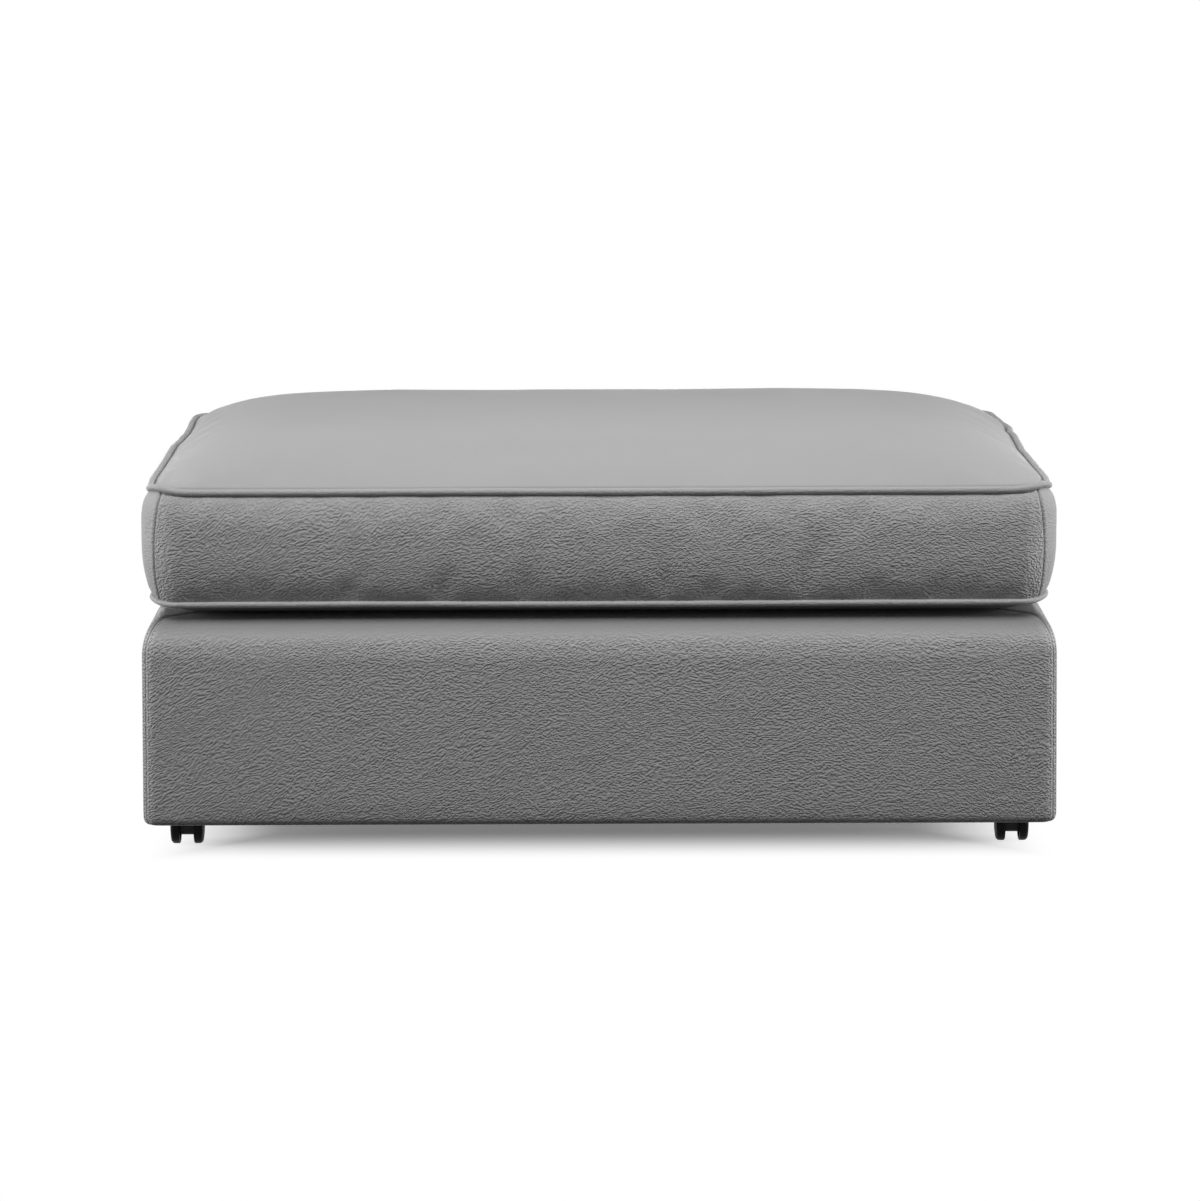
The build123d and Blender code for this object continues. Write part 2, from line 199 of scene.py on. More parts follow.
def repeated(name, source, places):  # copies of one small shape, joined
    mesh = source.data
    corners = [vertex.co.copy() for vertex in mesh.vertices]
    faces = [tuple(face.vertices) for face in mesh.polygons]
    allCorners, allFaces = [], []
    for matrix in places:
        first = len(allCorners)
        allCorners += [matrix @ co for co in corners]
        allFaces += [tuple(i + first for i in face) for face in faces]
    joined = bpy.data.meshes.new(name)
    joined.from_pydata(allCorners, [], allFaces)
    obj = bpy.data.objects.new(name, joined)
    scene.collection.objects.link(obj)
    bpy.data.objects.remove(source)
    return smooth(obj)


def dress(obj, body, look, replaced=()):
    obj.data.materials.clear()
    obj.data.materials.append(look)
    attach(obj, body)
    if replaced:
        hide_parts(*replaced)
    return obj


def ease(low, high, value):
    share = min(1, max(0, (value - low) / (high - low)))
    return share * share * (3 - 2 * share)


def ripple(co, wave, shift=0.0):  # smooth noise of about that wavelength, from -1 to 1
    return noise.noise(Vector((co[0] / wave + shift, co[1] / wave - shift, co[2] / wave + 2 * shift)))


# shader nodes written as sums

class Wire:
    def __init__(self, finish, socket):
        self.finish, self.socket = finish, socket

    def sum(self, operation, first, second):
        return self.finish.node("ShaderNodeMath", {"operation": operation}, [first, second])

    def __add__(self, other):
        return self.sum("ADD", self, other)

    def __radd__(self, other):
        return self.sum("ADD", other, self)

    def __sub__(self, other):
        return self.sum("SUBTRACT", self, other)

    def __rsub__(self, other):
        return self.sum("SUBTRACT", other, self)

    def __mul__(self, other):
        return self.sum("MULTIPLY", self, other)

    def __rmul__(self, other):
        return self.sum("MULTIPLY", other, self)

    def __abs__(self):
        return self.sum("ABSOLUTE", self, 0)

    def upTo(self, other):
        return self.sum("MINIMUM", self, other)

    def between(self, low, high):  # 0 at low, 1 at high, eased
        return self.finish.node("ShaderNodeMapRange", {"interpolation_type": "SMOOTHSTEP"},
                                {"Value": self, "From Min": low, "From Max": high})


class Finish:
    def __init__(self, name, owner=None):  # a new material, or the world
        self.material = owner or bpy.data.materials.new(name)
        self.material.use_nodes = True
        self.tree = self.material.node_tree
        self.tree.nodes.clear()
        if not owner:
            self.place = self.node("ShaderNodeTexCoord", {}, {}, "Object")

    def node(self, kind, settings, inputs, out=0):
        made = self.tree.nodes.new(kind)
        for key, value in settings.items():
            setattr(made, key, value)
        pairs = inputs.items() if isinstance(inputs, dict) else enumerate(inputs)
        for key, value in pairs:
            if isinstance(value, Wire):
                self.tree.links.new(value.socket, made.inputs[key])
            else:
                made.inputs[key].default_value = value
        return Wire(self, made.outputs[out]) if made.outputs else None

    def vector(self, operation, first, second):
        return self.node("ShaderNodeVectorMath", {"operation": operation}, [first, second])

    def turned(self, vector, rotation=(0, 0, 0), scale=(1, 1, 1)):
        return self.node("ShaderNodeMapping", {}, {"Vector": vector, "Rotation": rotation, "Scale": scale})

    def noise(self, vector, wave, detail=2.0, rough=0.5, out="Fac"):
        inputs = {"Vector": vector, "Scale": 1 / wave, "Detail": detail, "Roughness": rough}
        return self.node("ShaderNodeTexNoise", {}, inputs, out)

    def warped(self, vector, wave, reach):  # the pattern wanders by up to about half of reach
        drift = self.vector("SUBTRACT", self.noise(vector, wave, out="Color"), (0.5, 0.5, 0.5))
        return self.vector("ADD", vector, self.vector("MULTIPLY", drift, (reach, reach, reach)))

    def parts(self, vector):
        split = self.tree.nodes.new("ShaderNodeSeparateXYZ")
        self.tree.links.new(vector.socket, split.inputs[0])
        return [Wire(self, socket) for socket in split.outputs]

    def joined(self, *values):
        return self.node("ShaderNodeCombineXYZ", {}, list(values))

    def blend(self, factor, first, second):
        return self.node("ShaderNodeMix", {"data_type": "RGBA"}, {0: factor, 6: first, 7: second}, 2)

    def surface(self, color, roughness, height, depth, metallic=0.0, **constants):
        bump = self.node("ShaderNodeBump", {}, {"Strength": 1.0, "Distance": depth, "Height": height})
        inputs = {"Base Color": color, "Roughness": roughness, "Metallic": metallic, "Normal": bump}
        inputs.update({key.replace("_", " "): value for key, value in constants.items()})
        shader = self.node("ShaderNodeBsdfPrincipled", {}, inputs)
        self.node("ShaderNodeOutputMaterial", {}, {"Surface": shader})
        return self.material

    def seen(self):  # 1 for what the camera sees itself, in a reflection or through something
        path = self.tree.nodes.new("ShaderNodeLightPath")
        kinds = ("Is Camera Ray", "Is Glossy Ray", "Is Transmission Ray")
        camera, glossy, through = (Wire(self, path.outputs[kind]) for kind in kinds)
        return (camera + glossy + through).upTo(1)


def grey(level):
    return (level, level, level, 1)


def darker(color, factor):
    return tuple(part * factor for part in color[:3]) + (1,)


# leather: short wavy ridges, with slanting streaks of longer ones
leather = {
    "tone": 0.45,
    "ridgeWave": 0.0021,
    "ridgeStretch": 1.6,
    "ridgeDepth": 0.00076,
    "streakWave": 0.0021,
    "streakStretch": 4.0,
    "streakLean": -30,  # degrees
    "streakDepth": 0.6,  # share of the ridge depth
    "patchWave": 0.018,  # the streaks come in patches
    "lean": -0.14,  # the hide's run leans and arches over the panel
    "arch": 0.28,
    "cloudWave": 0.16,
    "roughness": 0.55,
    "specular": 0.28,
    "calmLow": (0.305, 0.345),  # heights over which the boxing's grain calms down, upwards
    "calmWelt": (0.395, 0.42),  # and once more, close under the top seam
    "calmEnds": (0.30, 0.33),  # the same along the side boxing, from the middle
    "calmEdge": (0.246, 0.264),  # and over the base's stretched top edge
    "topWelt": (0.4222, 0.4258),  # painted shade where the top panel goes in behind its welt
    "topShade": 0.36,
    "mitre": (0.0006, 0.0022),  # painted shade along the mitre seams
    "paintedLightFrom": (0.236, 0.250),  # painted highlight: the padded edge is drawn paler between these heights
    "paintedLightTo": (0.252, 0.266),
    "deckward": (0.260, 0.274),  # painted shade of the cushion's overhang, towards the deck
    "under": (0.0470, 0.0535),  # painted shade under the bottom edge
}
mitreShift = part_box("base_cover_right")[1].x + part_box("base_cover_front")[0].y


def leatherFinish(name, axes, tone=1.0, calm=None, grain=1.0, paintedShade=None):
    # axes: the object axes along and up the panel, and through it
    # calm(x, y, z): how much of the grain shows; the last argument, also of (x, y, z), is painted shade: the
    # share by which the colour is darkened
    finish = Finish(name)
    x, y, z = finish.parts(finish.place)
    along, up, through = {"xz": (x, z, y), "yz": (y, z, x), "xy": (x, y, z)}[axes]
    run = finish.joined(along, up + along * leather["lean"] + along * along * leather["arch"], through)
    drifting = finish.warped(finish.warped(run, 0.16, 0.05), 0.02, 0.003)
    stretched = finish.turned(drifting, scale=(1 / leather["ridgeStretch"], 1, 1))
    ridge = finish.noise(stretched, leather["ridgeWave"], 0.0).between(0.32, 0.68)
    leaning = finish.turned(drifting, rotation=(0, 0, math.radians(leather["streakLean"])))
    slanted = finish.turned(leaning, scale=(1 / leather["streakStretch"], 1, 1))
    patch = finish.noise(finish.turned(leaning, scale=(0.4, 1, 1)), leather["patchWave"], 1.0)
    streak = finish.noise(slanted, leather["streakWave"], 0.0).between(0.3, 0.7) * patch.between(0.45, 0.62)
    show = grain * (calm(x, y, z) if calm else 1.0)
    height = (ridge + streak * leather["streakDepth"]) * show
    cloud = finish.noise(finish.joined(along, up, through), leather["cloudWave"], 3.0)
    level = (1 - (1 - ridge) * show * 0.07) * (cloud * 0.08 + 0.96)
    # painted shade: the colour is darkened by that share
    if paintedShade:
        level = level * (1 - paintedShade(x, y, z))
    shade = finish.blend(level.upTo(1), grey(0.0), grey(leather["tone"] * tone))
    rough = leather["roughness"] + (cloud - 0.5) * 0.16 - ridge * show * 0.06
    depth, specular = leather["ridgeDepth"], leather["specular"]
    return finish.surface(shade, rough, height, depth, Specular_IOR_Level=specular)


def cushionCalm(x, y, z):
    return 1.4 - z.between(*leather["calmLow"]) * 0.4 - z.between(*leather["calmWelt"]) * 0.6


def sideCalm(x, y, z):
    return cushionCalm(x, y, z) * (1 - abs(y).between(*leather["calmEnds"]) * 0.6)


def baseCalm(x, y, z):
    return 1 - z.between(*leather["calmEdge"]) * 0.85


# painted shade on the top panel, just behind its welt
def topWeltPaintedShade(x, y, z):
    return (1 - z.between(*leather["topWelt"])) * leather["topShade"]


# painted shade along the mitres, towards the deck and under the bottom edge; a painted highlight band along
# the padded edge, with a small share of darkening everywhere else
def basePaintedShadeAndLight(x, y, z):
    # painted shade in a thin line along each mitre seam
    seam = 1 - abs(abs(x) - abs(y) - mitreShift).between(*leather["mitre"])
    # painted highlight band along the padded edge's shoulder
    paintedLight = z.between(*leather["paintedLightFrom"]) - z.between(*leather["paintedLightTo"])
    # painted shade where the bottom edge turns under
    under = 1 - z.between(*leather["under"])
    shade = seam * 0.4 + z.between(*leather["deckward"]) * 0.4 + under * 0.6
    return (shade - paintedLight * 0.13 + 0.13).upTo(0.75)


frontLeather = leatherFinish("boxingLeather", "xz", calm=cushionCalm)
sideLeather = leatherFinish("boxingSideLeather", "yz", calm=sideCalm)
# the top and base leathers get painted shade, the base's also a painted highlight band
topLeather = leatherFinish("topLeather", "xy", grain=0.12, paintedShade=topWeltPaintedShade)
baseFrontLeather = leatherFinish("baseLeather", "xz", 1.21, calm=baseCalm, paintedShade=basePaintedShadeAndLight)
baseSideLeather = leatherFinish("baseSideLeather", "yz", 1.21, calm=baseCalm, paintedShade=basePaintedShadeAndLight)
weltLeather = leatherFinish("weltLeather", "xz", tone=1.03, grain=0.3)


def woodFinish(name, dark, light, along, layered=False):
    finish = Finish(name)
    x, y, z = finish.parts(finish.place)
    order = {"x": (x, y, z), "y": (y, x, z)}[along]
    run = finish.turned(finish.joined(*order), scale=(0.06, 1, 1))
    fibre = finish.noise(run, 0.004, 4.0, 0.6)
    ring = finish.noise(finish.warped(run, 0.03, 0.01), 0.018, 2.0)
    tone = (fibre * 0.45 + ring * 0.55).between(0.3, 0.7)
    color = finish.blend(tone, dark, light)
    if layered:  # the plies show on the sawn edges
        ply = finish.node("ShaderNodeTexWave", {"wave_type": "BANDS", "bands_direction": "Z"},
                          {"Vector": finish.joined(x, y, order[2]), "Scale": 110.0, "Distortion": 0.4})
        color = finish.blend(ply * 0.25, color, dark)
    return finish.surface(color, 0.55 + fibre * 0.2, fibre, 0.0002)


def metalFinish(name, color, rough, wave=0.0006):
    finish = Finish(name)
    scratch = finish.noise(finish.turned(finish.place, scale=(1, 1, 0.15)), wave, 3.0)
    cloud = finish.noise(finish.place, 0.01, 2.0)
    shade = finish.blend(cloud, color, darker(color, 0.82))
    return finish.surface(shade, rough + scratch * 0.18, scratch, 0.00002, metallic=1.0)


def nylonFinish(name):
    finish = Finish(name)
    grain = finish.noise(finish.place, 0.0007, 2.0)
    scuff = finish.noise(finish.warped(finish.place, 0.01, 0.004), 0.006, 4.0, 0.7).between(0.5, 0.8)
    shade = finish.blend(scuff, grey(0.0025), grey(0.006))
    return finish.surface(shade, 0.42 + scuff * 0.15 + grain * 0.06, grain, 0.00004, Specular_IOR_Level=0.08)


def foamFinish(name, color):
    finish = Finish(name)
    inputs = {"Vector": finish.warped(finish.place, 0.004, 0.001), "Scale": 1 / 0.0016}
    cell = finish.node("ShaderNodeTexVoronoi", {"feature": "F1"}, inputs, "Distance")
    stain = finish.noise(finish.place, 0.12, 3.0)
    shade = finish.blend(stain, color, darker(color, 0.88))
    return finish.surface(shade, 0.92, cell, 0.0006)


def fleeceFinish(name, color, wave):
    finish = Finish(name)
    fluff = finish.noise(finish.warped(finish.place, wave * 4, wave * 3), wave, 5.0, 0.7)
    shade = finish.blend(fluff, darker(color, 0.8), color)
    return finish.surface(shade, 0.95, fluff, 0.0012)


def wovenFinish(name, dark, light, pitch):
    finish = Finish(name)
    x, y, z = finish.parts(finish.place)
    turn = 2 * math.pi / pitch
    warp = finish.node("ShaderNodeMath", {"operation": "SINE"}, [x * turn])
    weft = finish.node("ShaderNodeMath", {"operation": "SINE"}, [(y + z) * turn])
    thread = abs(warp) * 0.5 + abs(weft) * 0.5
    slub = finish.noise(finish.turned(finish.place, scale=(0.1, 1, 1)), 0.003, 2.0)
    shade = finish.blend((thread * 0.7 + slub * 0.3).upTo(1), dark, light)
    return finish.surface(shade, 0.85, thread + slub * 0.4, 0.0003)


looks = {
    "plywood": woodFinish("birchPly", (0.42, 0.27, 0.14, 1), (0.66, 0.48, 0.29, 1), "x", True),
    "hardwood": woodFinish("planedHardwood", (0.30, 0.16, 0.07, 1), (0.52, 0.33, 0.17, 1), "y"),
    "screw_steel": metalFinish("zincScrews", (0.60, 0.57, 0.46, 1), 0.3),
    "spring_steel": metalFinish("oiledSprings", (0.16, 0.165, 0.18, 1), 0.35),
    "felt": fleeceFinish("needledFelt", (0.26, 0.24, 0.21, 1), 0.0012),
    "foam": foamFinish("seatFoam", (0.80, 0.74, 0.52, 1)),
    "decking_cloth": wovenFinish("deckingCloth", grey(0.012), grey(0.035), 0.0022),
    "dust_cloth": fleeceFinish("dustCloth", grey(0.02), 0.0009),
    "fibre": fleeceFinish("fibreWrap", grey(0.85), 0.002),
    "zip_cloth": wovenFinish("zipTape", grey(0.05), grey(0.10), 0.0009),
    "zip_metal": metalFinish("darkNickel", (0.22, 0.22, 0.23, 1), 0.25, 0.0003),
    "caster_plate_steel": metalFinish("blackPlate", (0.03, 0.03, 0.032, 1), 0.45),
    "caster_black": nylonFinish("casterNylon"),
    "axle_steel": metalFinish("oiledSteel", (0.03, 0.03, 0.031, 1), 0.35, 0.0003),
    "wheel_black": nylonFinish("wheelNylon"),
}
for node in nodes.values():
    for holder in node.material_slots:
        known = holder.material.name.split(".")[0] if holder.material else ""
        if known in looks:
            holder.material = looks[known]
print("finishes ready")


# the loose cushion: one shell that is swollen, then split along its seams
cushion = {
    "topWeltRadius": 0.0039,
    "bottomWeltRadius": 0.0034,
    "cornerRadius": 0.032,
    "bulge": 0.0098,
    "forward": 0.007,  # the front boxing overhangs the base a little more than the back one
    "upperBulge": 5,  # the boxing comes out steeply under the top welt, gently above the bottom one
    "lowerBulge": 2.08,
    "cellAcross": 78,  # faces between the corner zones
    "cellDeep": 51,
    "cellCorner": 4,
    "rows": (0.0, 0.03, 0.08, 0.165, 0.25, 0.33, 0.395, 0.4516,  # shares of the boxing, from the top
             0.5484, 0.605, 0.67, 0.75, 0.835, 0.92, 0.97, 1.0),
    "seamSwing": (3, 5.5, 16),  # degrees that the corner seams lean, at the bottom, middle and top
    "frontSag": 0.0014,  # the front's top seam hangs a little
    "cornerLift": 0.0065,
    "bottomSag": 0.0042,  # the front's bottom seam hangs too, and rises round the corners
    "bottomRise": 0.0067,
    "sideDrift": {  # how far the left and right side seams wander outwards: (y, outwards)
        -1: ((-0.34, 0.001), (-0.23, 0.0036), (-0.15, 0.0031), (-0.06, 0.0028), (0.027, 0.0032),
             (0.1, -0.0003), (0.157, -0.0022), (0.2, -0.002), (0.27, -0.0003), (0.34, -0.0004)),
        1: ((-0.3, 0.002), (-0.26, 0.0034), (-0.16, 0.0017), (-0.08, 0.0004), (-0.025, -0.0013),
            (0.024, 0.0), (0.118, 0.0017), (0.138, -0.0008), (0.18, 0.002), (0.25, -0.0035),
            (0.312, -0.007), (0.34, -0.0095)),
    },
    "bellyReach": 0.2,
    "tuck": 0.0036,  # seams drawn in behind the welts
    "pressure": 4.0,
    "stiffness": 18,
    "bending": 2,
    "shrink": -0.012,  # less than 0: the cloth grows
    "frames": 20,
    "swellLimit": 0.0024,
    "fill": 0.8,
}
topLow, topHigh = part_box("top_welt")
bottomLow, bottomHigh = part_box("bottom_welt")
seamX = topHigh.x - (topHigh.z - topLow.z) / 2
seamY = topHigh.y - (topHigh.z - topLow.z) / 2
seamTop = (topLow.z + topHigh.z) / 2
seamBottom = (bottomLow.z + bottomHigh.z) / 2
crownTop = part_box("cushion_top")[1].z
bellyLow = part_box("cushion_bottom")[0].z


def linesAlong(half, inner):  # grid lines from edge to edge, closer together in the corner zones
    zone, radius = cushion["cellCorner"], cushion["cornerRadius"]
    step = 2 * (half - radius) / inner
    return ([-half + radius * k / zone for k in range(zone)]
            + [-half + radius + step * k for k in range(inner + 1)]
            + [half - radius + radius * k / zone for k in range(1, zone + 1)])


def roundedPlan(x, y, swing):  # the square grid's point on the rounded plan, and the way out from there
    radius = cushion["cornerRadius"]
    px, py = (abs(x) - (seamX - radius)) / radius, (abs(y) - (seamY - radius)) / radius
    signX, signY = math.copysign(1, x), math.copysign(1, y)
    if px <= 0 or py <= 0:
        out = Vector((signX, 0, 0)) if px > py else Vector((0, signY, 0))
        return Vector((x, y, 0)), out
    u, v = px * math.sqrt(1 - py * py / 2), py * math.sqrt(1 - px * px / 2)
    reach, angle = math.hypot(u, v), math.atan2(v, u)
    angle += swing * math.sin(2 * angle) * reach ** 2
    out = Vector((signX * math.cos(angle), signY * math.sin(angle), 0))
    corner = Vector((signX * (seamX - radius), signY * (seamY - radius), 0))
    return corner + out * reach * radius, out


def cornerNear(x, y, reach):  # 1 at the seams' corners, fading out
    return math.exp(-((abs(x) - seamX) ** 2 + (abs(y) - seamY) ** 2) / reach ** 2)


def topSeamAt(x, y):
    front = 1 - ease(-seamY + 0.02, -seamY + 0.1, y)
    corner = cornerNear(x, y, 0.021) * (1 if y < 0 else 0.3)
    return seamTop - cushion["frontSag"] * front * (1 - corner) + cushion["cornerLift"] * corner


def bottomSeamAt(x, y):
    rise = cushion["bottomRise"] * ease(-0.012, 0.032, y + seamY)
    return seamBottom - cushion["bottomSag"] + rise + ripple((x, y, 0), 0.4, 2.7) * 0.0012


def forwardAt(y):
    return cushion["forward"] * (seamY - y) / (2 * seamY)


def sideDrift(x, y):
    spots = cushion["sideDrift"][-1 if x < 0 else 1]
    for (y0, d0), (y1, d1) in zip(spots, spots[1:]):
        if y < y1:
            break
    outwards = d0 + (d1 - d0) * ease(y0, y1, y)
    return outwards if x > 0 else -outwards


def crownRise(share, gentle):  # steep behind the front welt, gentler over the sides
    share = min(1, share)
    full = 1 - (1 - share) ** (4.5 + 2.6 * (1 - share) ** 3)
    slow = 0.5 * (1 - (1 - share) ** 4.5) + 0.5 * ease(0, 0.4, share)
    return full * (1 - gentle) + slow * gentle


def bellyDrop(share):
    return 1 - (1 - min(1, share / cushion["bellyReach"])) ** 3


def makeShell():
    linesX, linesY = linesAlong(seamX, cushion["cellAcross"]), linesAlong(seamY, cushion["cellDeep"])
    across, deep, rows = len(linesX) - 1, len(linesY) - 1, len(cushion["rows"]) - 1
    clearSelection()
    bpy.ops.mesh.primitive_grid_add(x_subdivisions=across, y_subdivisions=deep, size=2)
    shell = nameLast("cushionShell")
    chooseAll(shell)
    bpy.ops.mesh.duplicate_move(TRANSFORM_OT_translate={"value": (0, 0, -rows)})
    bpy.ops.mesh.flip_normals()
    leaveEdit()
    openEdges(shell, lambda middle: middle.z > -0.5)
    for row in range(rows):  # the boxing hangs down row by row
        bpy.ops.mesh.extrude_region_move(TRANSFORM_OT_translate={"value": (0, 0, -1)})
    bpy.ops.mesh.select_all(action="SELECT")
    bpy.ops.mesh.remove_doubles(threshold=0.001)
    bpy.ops.mesh.normals_make_consistent(inside=False)
    leaveEdit()
    putInOrder(shell)
    for name in ("top", "bottom", "front", "back", "left", "right"):
        shell.data.materials.append(bpy.data.materials.new(name))
    for face in shell.data.polygons:
        middle = face.center
        if middle.z > -0.01:
            face.material_index = 0
        elif middle.z < 0.01 - rows:
            face.material_index = 1
        elif abs(middle.y) > 0.9999:
            face.material_index = 2 if middle.y < 0 else 3
        else:
            face.material_index = 4 if middle.x < 0 else 5

    low, mid, high = (math.radians(degrees) for degrees in cushion["seamSwing"])

    def place(co):
        x, y = linesX[gridIndex(co.x, across)], linesY[gridIndex(co.y, deep)]
        share = 1 - cushion["rows"][round(-co.z)]
        swing = low + (mid - low) * ease(0, 0.5, share) + (high - mid) * ease(0.5, 1, share)
        plan, out = roundedPlan(x, y, swing)
        top, bottom = topSeamAt(plan.x, plan.y) + 0.0004, bottomSeamAt(plan.x, plan.y) - 0.0008
        sx, sy = (seamX - abs(x)) / seamY, (seamY - abs(y)) / seamY
        fromEdge = min(seamX - abs(x), seamY - abs(y))
        drift = sideDrift(x, y) * ease(seamX - 0.16, seamX - 0.01, abs(x))
        if co.z > -0.01:
            plan -= out * cushion["tuck"] * max(0, 1 - fromEdge / 0.012)
            plan.z = seamTop + (top - seamTop) * (1 - ease(0, 0.06, fromEdge))
            plan.z += (crownTop - 0.0015 - seamTop) * crownRise(sx, 0.2) * crownRise(sy, 0.2)
        elif co.z < 0.01 - rows:
            plan -= out * cushion["tuck"] * max(0, 1 - fromEdge / 0.012)
            plan.z = bottom - (bottom - bellyLow) * bellyDrop(sx) * bellyDrop(sy)
            drift = 0
        else:
            belly = abs(2 * share - 1) ** (cushion["upperBulge"] if share > 0.5 else cushion["lowerBulge"])
            fromSeam = (1 - abs(2 * share - 1)) / 2 * (top - bottom)
            plan += out * (cushion["bulge"] * (1 - belly) - cushion["tuck"] * math.exp(-fromSeam / 0.0026))
            plan.z = bottom + (top - bottom) * share
            drift *= ease(0.6, 1, share)
        plan.x += drift
        plan.y -= forwardAt(y)
        return plan

    moveVertices(shell, place)
    return shell


def swellShell(shell):  # the cloth swells between its pinned seams
    start = [vertex.co.copy() for vertex in shell.data.vertices]
    pins = shell.vertex_groups.new(name="pins")
    corners = [{i for face in shell.data.polygons if face.material_index in kinds for i in face.vertices}
               for kinds in ((0,), (1,), (2, 3, 4, 5))]
    held = corners[1] | (corners[0] & corners[2])  # the whole bottom panel and the top seam
    for vertex in shell.data.vertices:
        pins.add([vertex.index], 1.0 if vertex.index in held else 0.0, "REPLACE")
    cloth = shell.modifiers.new("swell", "CLOTH")
    cloth.settings.quality = 6
    cloth.settings.mass = 0.4
    cloth.settings.tension_stiffness = cloth.settings.compression_stiffness = cushion["stiffness"]
    cloth.settings.bending_stiffness = cushion["bending"]
    cloth.settings.shrink_min = cushion["shrink"]
    cloth.settings.use_pressure = True
    cloth.settings.uniform_pressure_force = cushion["pressure"]
    cloth.settings.vertex_group_mass = "pins"
    cloth.settings.effector_weights.gravity = 0
    cloth.point_cache.frame_end = cushion["frames"]
    for number in range(1, cushion["frames"] + 1):
        scene.frame_set(number)
    applyAll(shell)
    limit = cushion["swellLimit"]
    for vertex, first in zip(shell.data.vertices, start):
        move = vertex.co - first
        if move.length > 1e-9:
            vertex.co = first + move * (limit * math.tanh(move.length / limit) / move.length)
    scene.frame_set(1)


shell = makeShell()
swellShell(shell)
subdivided(shell, 2)
print("cushion shell", len(shell.data.polygons), "faces")


def cushionDents(co, normal):  # wide dents, and fine puckers along the seams
    side = math.hypot(normal.x, normal.y)
    top, bottom = topSeamAt(co.x, co.y), bottomSeamAt(co.x, co.y)
    fromTop, fromBottom = abs(co.z - top), abs(co.z - bottom)
    if side > 0.75 and bottom < co.z < top:
        wide = ripple((co.x, co.y, co.z * 1.6), 0.1, 3.1) * 0.00025 + ripple(co, 0.045, 7.7) * 0.00008
        fade = math.exp(-fromTop / 0.012) + 0.3 * math.exp(-fromBottom / 0.014)
        pucker = ripple((co.x, co.y, 0), 0.013, 1.3) * 0.0004 * fade
        near = min(fromTop, fromBottom)
        return wide * ease(0, 0.02, near) + pucker * ease(0.0, 0.004, near)
    if normal.z > 0 and co.z > seamTop:
        rise = (co.z - seamTop) / (crownTop - seamTop)
        wide = ripple(co, 0.17, 5.2) * 0.0016 + ripple(co, 0.07, 2.4) * 0.0004
        pucker = ripple((co.x, co.y, 0), 0.016, 9.3) * 0.0006 * math.exp(-rise / 0.25)
        return wide * ease(0, 0.4, rise) + pucker * ease(0.02, 0.12, rise)
    return 0.0


swell(shell, cushionDents)
tapeLow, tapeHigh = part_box("zip_tape")
zipMiddle = (tapeLow.z + tapeHigh.z) / 2
tapeFace = tapeHigh.y - 0.0012


def zipNear(co):
    if co.y < seamY:
        return 0
    beside = 1 - ease(tapeHigh.x + 0.006, tapeHigh.x + 0.035, abs(co.x))
    return beside * (1 - ease(0.017, 0.036, abs(co.z - zipMiddle)))


def drawnTo(face):  # the boxing is held flat along the zip
    return lambda co: Vector((co.x, co.y + (face - co.y) * zipNear(co), co.z))


moveVertices(shell, drawnTo(tapeHigh.y + 0.0016))

# corner seams: a fine groove with a soft ridge on both sides
seamKeys = {key for key, kinds in facesByEdge(shell.data).items()
            if {2, 3} & set(kinds) and {4, 5} & set(kinds)}
seamPoints = [shell.data.vertices[index].co.copy() for key in seamKeys for index in key]
choose(shell, "edge", lambda edge: edge.key in seamKeys)
bpy.ops.mesh.bevel(offset=0.0011, segments=2, profile=0.5, affect="EDGES")
leaveEdit()
tree = kdtree.KDTree(len(seamPoints))
for index, point in enumerate(seamPoints):
    tree.insert(point, index)
tree.balance()


def cornerGroove(co, normal):
    away = tree.find(co)[2]
    return 0.0005 * math.exp(-((away - 0.0032) / 0.0016) ** 2) - 0.0017 * math.exp(-(away / 0.0009) ** 2)


swell(shell, cornerGroove)

# soft filling, from copies of the shell
filling = {
    "wrapUnder": 0.0016,  # how far the wrap lies under the leather's outside
    "wrapRatio": 0.35,  # share of the faces that is kept
    "coreRatio": 0.2,
    "coreSize": (0.972, 0.96, 0.86),
    "coreMiddle": 0.3735,
    "fill": 0.9,
}


def shrunkCore(co):
    x, y, z = filling["coreSize"]
    middle = filling["coreMiddle"]
    return Vector((co.x * x, co.y * y, middle + (co.z - middle) * z))


wrap = copied(shell, "cushionWrap")
swell(wrap, lambda co, normal: -filling["wrapUnder"])
moveVertices(wrap, drawnTo(tapeFace - 0.0024))
core = copied(shell, "cushionCore")
for piece, ratio in ((wrap, filling["wrapRatio"]), (core, filling["coreRatio"])):
    lighter = piece.modifiers.new("lighter", "DECIMATE")
    lighter.ratio = ratio
    applyAll(piece)
moveVertices(core, shrunkCore)
for piece, slot, node in ((wrap, "fibre", "cushion_fibre_wrap"), (core, "foam", "cushion_core")):
    smooth(piece)
    dress(piece, "cushion", looks[slot], (node,))

chooseAll(shell)
bpy.ops.mesh.separate(type="MATERIAL")
leaveEdit()
panels = {}
for piece in list(bpy.context.selected_objects) + [shell]:
    if piece.type == "MESH" and piece.data.polygons:
        kind = piece.data.materials[piece.data.polygons[0].material_index].name.split(".")[0]
        panels[kind] = piece


def atSlot(middle, up=0.02, beyond=0.01):
    return abs(middle.z - zipMiddle) < up and abs(middle.x) < tapeHigh.x + beyond


